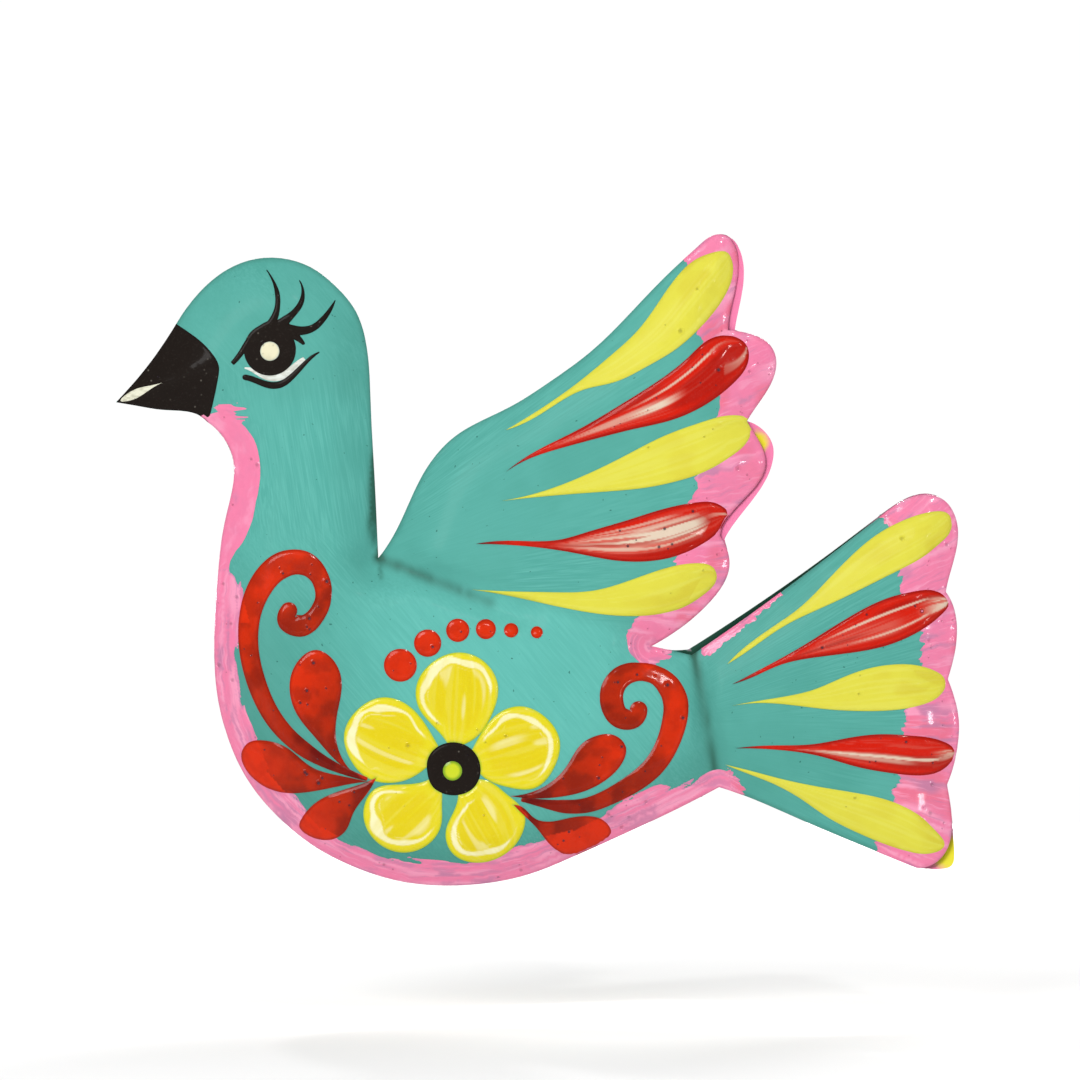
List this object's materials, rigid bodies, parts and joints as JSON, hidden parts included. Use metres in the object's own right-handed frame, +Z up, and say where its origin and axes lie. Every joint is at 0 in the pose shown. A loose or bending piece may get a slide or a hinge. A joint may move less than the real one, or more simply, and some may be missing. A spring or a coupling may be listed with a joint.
{
  "type": "painted tin dove ornament",
  "caption": "Flat hollow dove of two embossed tin sheets with a raised wing and fan tail, painted on both faces, with a punched hanging tab on its back.",
  "frame": {"origin": "centre of the hanging tab's hole, half way through the tab's sheet, level with the back of the body", "axes": "+Z up as the bird hangs; +X from beak to tail; +Y from the bird's front face towards the wall"},
  "size_m": [0.211, 0.019, 0.1631],
  "materials": {
    "teal_tin": "satin teal enamel over tin, with fine brush streaks",
    "pink_enamel": "glossy pink enamel, dry-brushed at its inner edge",
    "lemon_enamel": "flat lemon yellow enamel, thick, satin",
    "golden_yellow_enamel": "golden yellow enamel with cream swirls, thick, glossy",
    "dark_red_enamel": "red enamel streaked with cream, thick, glossy",
    "orange_red_enamel": "thin glossy orange-red enamel that lets the coat below show",
    "black_enamel": "warm black enamel, satin",
    "cream_enamel": "cream enamel, satin",
    "lime_enamel": "lime enamel, glossy",
    "bare_tin": "bare tin plate, dull, lightly scratched",
    "solder": "dull grey solder, lumpy"
  },
  "bodies": {
    "root": {"back_beak": "black_enamel", "back_beak_highlight": "cream_enamel", "back_dots": "orange_red_enamel", "back_eye_black": "black_enamel", "back_eye_glint": "cream_enamel", "back_eye_under_line": "black_enamel", "back_eye_white": "cream_enamel", "back_flower_disc": "black_enamel", "back_flower_dot": "lime_enamel", "back_left_leaves": "orange_red_enamel", "back_left_scroll": "orange_red_enamel", "back_petals": "golden_yellow_enamel", "back_pink_border": "pink_enamel", "back_right_leaves": "orange_red_enamel", "back_right_scroll": "orange_red_enamel", "back_sheet": "teal_tin", "back_tail_feather_1": "lemon_enamel", "back_tail_feather_2": "dark_red_enamel", "back_tail_feather_3": "lemon_enamel", "back_tail_feather_4": "dark_red_enamel", "back_tail_feather_5": "lemon_enamel", "back_wing_feather_1": "lemon_enamel", "back_wing_feather_2": "dark_red_enamel", "back_wing_feather_3": "lemon_enamel", "back_wing_feather_4": "dark_red_enamel", "back_wing_feather_5": "lemon_enamel", "front_beak": "black_enamel", "front_beak_highlight": "cream_enamel", "front_dots": "orange_red_enamel", "front_eye_black": "black_enamel", "front_eye_glint": "cream_enamel", "front_eye_under_line": "black_enamel", "front_eye_white": "cream_enamel", "front_flower_disc": "black_enamel", "front_flower_dot": "lime_enamel", "front_left_leaves": "orange_red_enamel", "front_left_scroll": "orange_red_enamel", "front_petals": "golden_yellow_enamel", "front_pink_border": "pink_enamel", "front_right_leaves": "orange_red_enamel", "front_right_scroll": "orange_red_enamel", "front_sheet": "teal_tin", "front_tail_feather_1": "lemon_enamel", "front_tail_feather_2": "dark_red_enamel", "front_tail_feather_3": "lemon_enamel", "front_tail_feather_4": "dark_red_enamel", "front_tail_feather_5": "lemon_enamel", "front_wing_feather_1": "lemon_enamel", "front_wing_feather_2": "dark_red_enamel", "front_wing_feather_3": "lemon_enamel", "front_wing_feather_4": "dark_red_enamel", "front_wing_feather_5": "lemon_enamel", "hanging_tab": "bare_tin", "seam_tacks": "solder", "tab_solder": "solder"}
  },
  "joints": []
}
